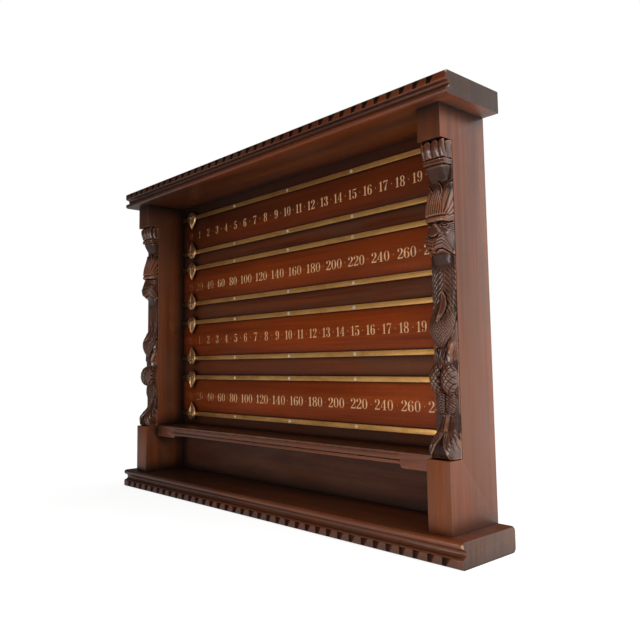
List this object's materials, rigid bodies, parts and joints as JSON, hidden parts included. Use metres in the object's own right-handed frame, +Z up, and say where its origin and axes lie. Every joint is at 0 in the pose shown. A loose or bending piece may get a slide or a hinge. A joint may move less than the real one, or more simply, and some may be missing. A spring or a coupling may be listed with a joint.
{
  "type": "snooker scoreboard",
  "caption": "Mahogany snooker scoreboard with carved uprights, gilt numbered strips between brass rails, sliding brass pointers and a ball shelf below.",
  "frame": {"origin": "middle of the underside of the base board, half way between the wall plane and the front of the cornice", "axes": "+X to the right as seen from the front, +Y towards the wall, +Z up"},
  "size_m": [1.122, 0.154, 0.807],
  "materials": {
    "mahogany_case": "french polished, worn at the arrises",
    "mahogany_carved": "dark polish, rubbed bright on the high parts",
    "mahogany_panel": "dark satin polish",
    "mahogany_strip": "red polish with gilt numerals",
    "brass_rail": "tarnished, brighter along the face",
    "brass_pointer": "cast, handled bright",
    "brass_screw": "dull",
    "brass_plate": "dull",
    "steel_screw": "browned",
    "beech_dowel": "bare"
  },
  "bodies": {
    "case": {"cornice_board": "mahogany_case", "base_board": "mahogany_case", "left_upright": "mahogany_case", "right_upright": "mahogany_case", "left_carving": "mahogany_carved", "right_carving": "mahogany_carved", "scoring_panel": "mahogany_panel", "lower_back_board": "mahogany_panel", "shelf": "mahogany_case", "number_strip_1": "mahogany_strip", "number_strip_2": "mahogany_strip", "number_strip_3": "mahogany_strip", "number_strip_4": "mahogany_strip", "upper_rail_1": "brass_rail", "lower_rail_1": "brass_rail", "upper_rail_2": "brass_rail", "lower_rail_2": "brass_rail", "upper_rail_3": "brass_rail", "lower_rail_3": "brass_rail", "upper_rail_4": "brass_rail", "lower_rail_4": "brass_rail", "rail_screws": "brass_screw", "panel_screws": "steel_screw", "joint_dowels": "beech_dowel", "left_hanger": "brass_plate", "right_hanger": "brass_plate", "hanger_screws": "brass_screw"},
    "upper_pointer_1": {"upper_pointer_1": "brass_pointer"},
    "lower_pointer_1": {"lower_pointer_1": "brass_pointer"},
    "upper_pointer_2": {"upper_pointer_2": "brass_pointer"},
    "lower_pointer_2": {"lower_pointer_2": "brass_pointer"},
    "upper_pointer_3": {"upper_pointer_3": "brass_pointer"},
    "lower_pointer_3": {"lower_pointer_3": "brass_pointer"},
    "upper_pointer_4": {"upper_pointer_4": "brass_pointer"},
    "lower_pointer_4": {"lower_pointer_4": "brass_pointer"}
  },
  "joints": [
    {"name": "upper_pointer_1_slide", "type": "slide", "parent": "case", "child": "upper_pointer_1", "axis": [1, 0, 0], "range_m": [-0.03, 0.878]},
    {"name": "lower_pointer_1_slide", "type": "slide", "parent": "case", "child": "lower_pointer_1", "axis": [1, 0, 0], "range_m": [-0.03, 0.878]},
    {"name": "upper_pointer_2_slide", "type": "slide", "parent": "case", "child": "upper_pointer_2", "axis": [1, 0, 0], "range_m": [-0.03, 0.878]},
    {"name": "lower_pointer_2_slide", "type": "slide", "parent": "case", "child": "lower_pointer_2", "axis": [1, 0, 0], "range_m": [-0.03, 0.878]},
    {"name": "upper_pointer_3_slide", "type": "slide", "parent": "case", "child": "upper_pointer_3", "axis": [1, 0, 0], "range_m": [-0.03, 0.878]},
    {"name": "lower_pointer_3_slide", "type": "slide", "parent": "case", "child": "lower_pointer_3", "axis": [1, 0, 0], "range_m": [-0.03, 0.878]},
    {"name": "upper_pointer_4_slide", "type": "slide", "parent": "case", "child": "upper_pointer_4", "axis": [1, 0, 0], "range_m": [-0.03, 0.878]},
    {"name": "lower_pointer_4_slide", "type": "slide", "parent": "case", "child": "lower_pointer_4", "axis": [1, 0, 0], "range_m": [-0.03, 0.878]}
  ]
}
